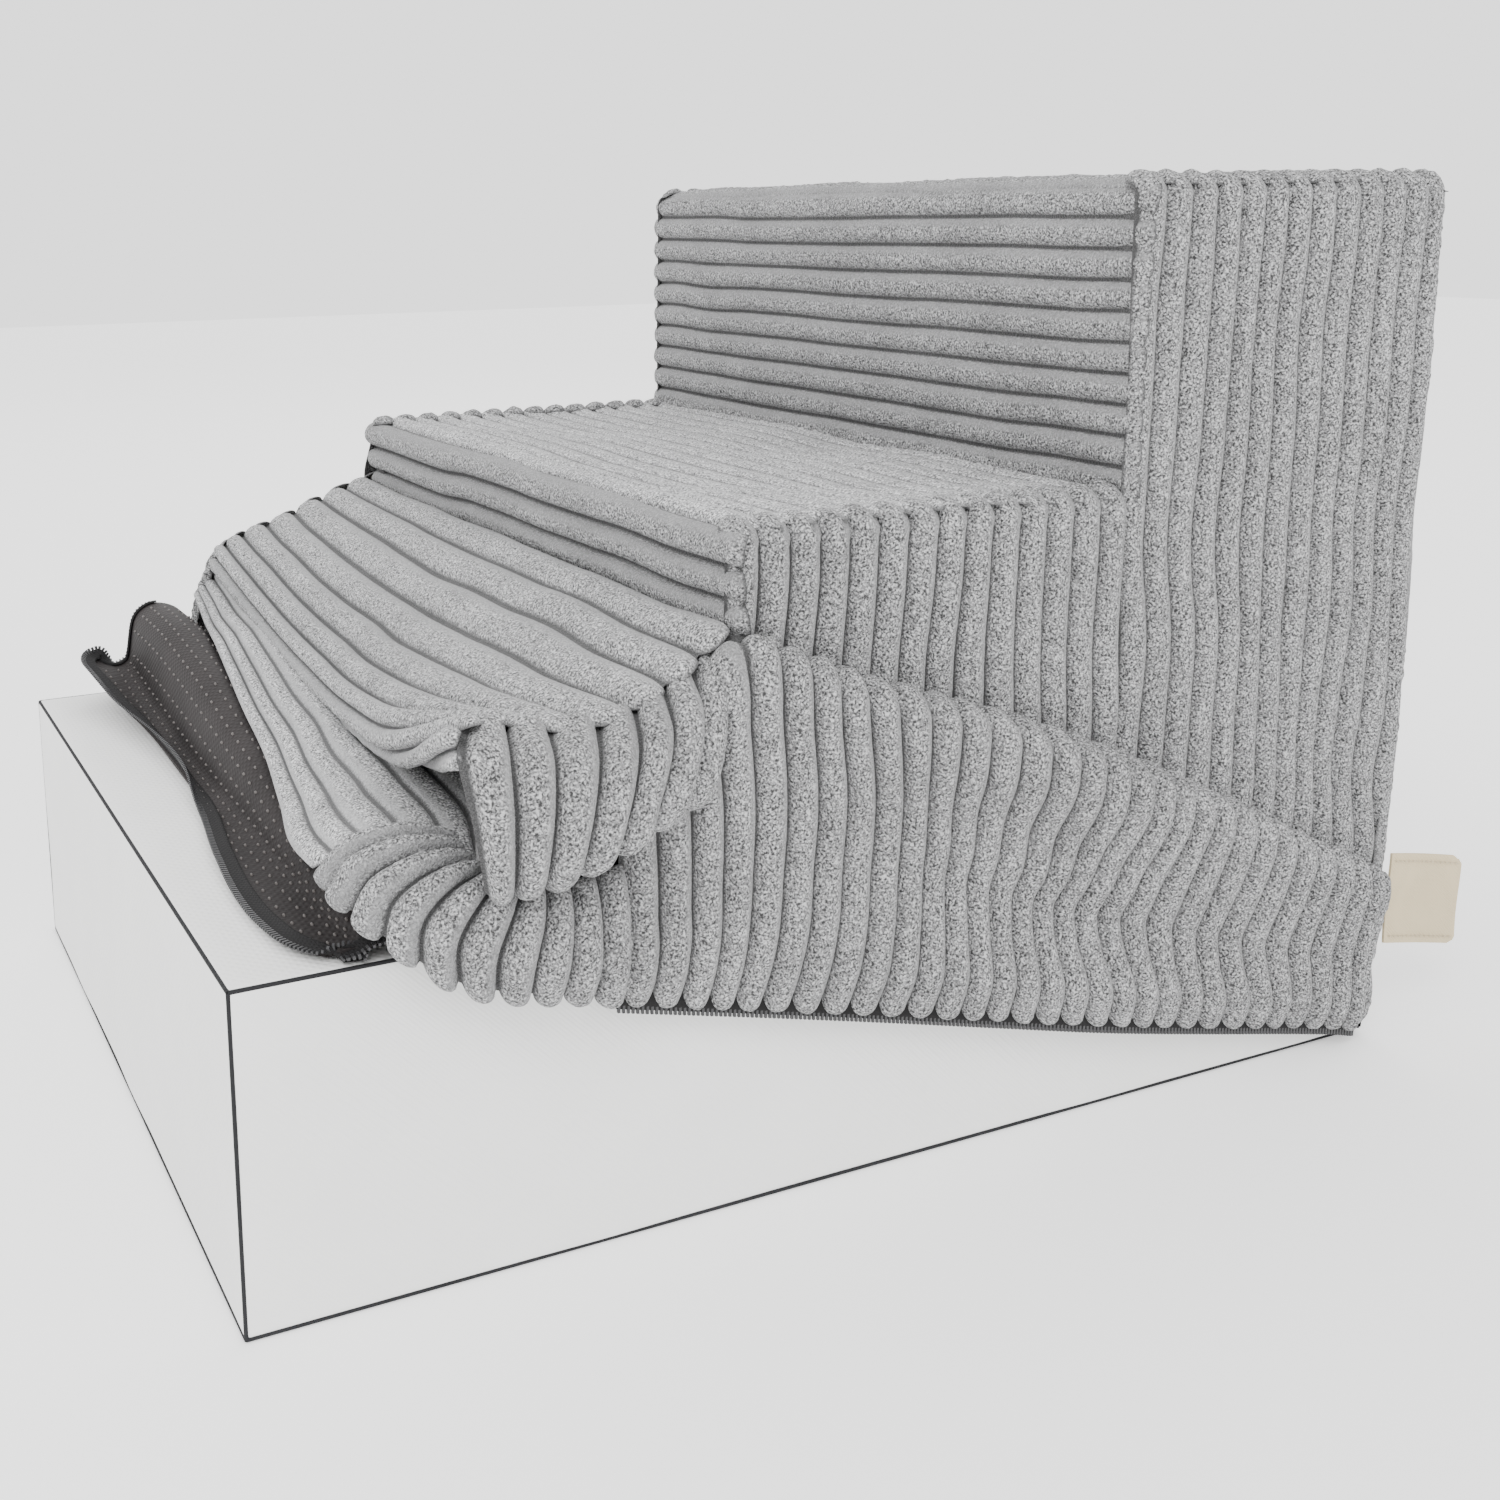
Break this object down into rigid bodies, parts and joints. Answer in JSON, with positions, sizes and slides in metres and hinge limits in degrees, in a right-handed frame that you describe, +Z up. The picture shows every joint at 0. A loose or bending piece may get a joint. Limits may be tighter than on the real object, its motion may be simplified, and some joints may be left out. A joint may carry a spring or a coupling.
{
  "type": "pet stair",
  "caption": "Stepped foam pet stair in a slack ribbed plush cover, open at its unzipped base, with a full-length bottom block that slides out at the front.",
  "frame": {"origin": "centre of the bounding box on the floor, under the bottom block", "axes": "+X to the rear (high) end, +Y to the far side, +Z up"},
  "size_m": [0.591, 0.4656, 0.396],
  "materials": {
    "ribbed_plush": "wide-wale plush with a soft pile",
    "foam": "open-cell foam",
    "liner_cloth": "thin plain-woven liner",
    "dark_piping": "narrow piping",
    "nonslip_cloth": "dark cloth with small rubber dots",
    "zip_tape": "woven tape",
    "zip_teeth": "moulded teeth",
    "zip_metal": "satin die-cast",
    "tag_cloth": "folded cotton, plain"
  },
  "bodies": {
    "stair_cover": {"foam_top_block": "foam", "foam_middle_block": "foam", "top_tread_panel": "ribbed_plush", "top_riser_panel": "ribbed_plush", "middle_tread_panel": "ribbed_plush", "middle_riser_panel": "ribbed_plush", "lower_tread_panel": "ribbed_plush", "front_riser_panel": "ribbed_plush", "side_panel_near": "ribbed_plush", "side_panel_far": "ribbed_plush", "back_panel": "ribbed_plush", "base_panel": "nonslip_cloth", "base_zip_tape": "zip_tape", "base_zip_teeth": "zip_teeth", "skirt_zip_tape": "zip_tape", "skirt_zip_teeth": "zip_teeth"},
    "bottom_block": {"foam_bottom_block": "foam", "block_liner": "liner_cloth", "block_piping": "dark_piping"},
    "front_lip": {"base_lip": "nonslip_cloth", "lip_zip_tape": "zip_tape", "lip_zip_teeth": "zip_teeth"},
    "slider": {"zip_slider": "zip_metal"},
    "pull_tab": {"zip_pull_tab": "zip_metal"},
    "tag": {"label_tag": "tag_cloth"}
  },
  "joints": [
    {"name": "bottom_block_slide", "type": "slide", "parent": "stair_cover", "child": "bottom_block", "axis": [-1, 0, 0], "range_m": [0, 0.5]},
    {"name": "base_lip_hinge", "type": "hinge", "parent": "stair_cover", "child": "front_lip", "pos_m": [-0.24775, 0.0012, 0.135], "axis": [0, 1, 0], "range_deg": [0, 45]},
    {"name": "zip_slider_travel", "type": "slide", "parent": "stair_cover", "child": "slider", "axis": [0, 1, 0], "range_m": [-0.07, 0.27]},
    {"name": "pull_tab_swing", "type": "hinge", "parent": "slider", "child": "pull_tab", "pos_m": [0.2462, -0.1062, 0.0051], "axis": [0, 0, 1], "range_deg": [-155, 0]},
    {"name": "label_tag_flex", "type": "hinge", "parent": "stair_cover", "child": "tag", "pos_m": [0.2467, -0.1969, 0.066], "axis": [0, 0, 1], "range_deg": [-80, 80], "stiffness_Nm_per_rad": 0.002}
  ]
}
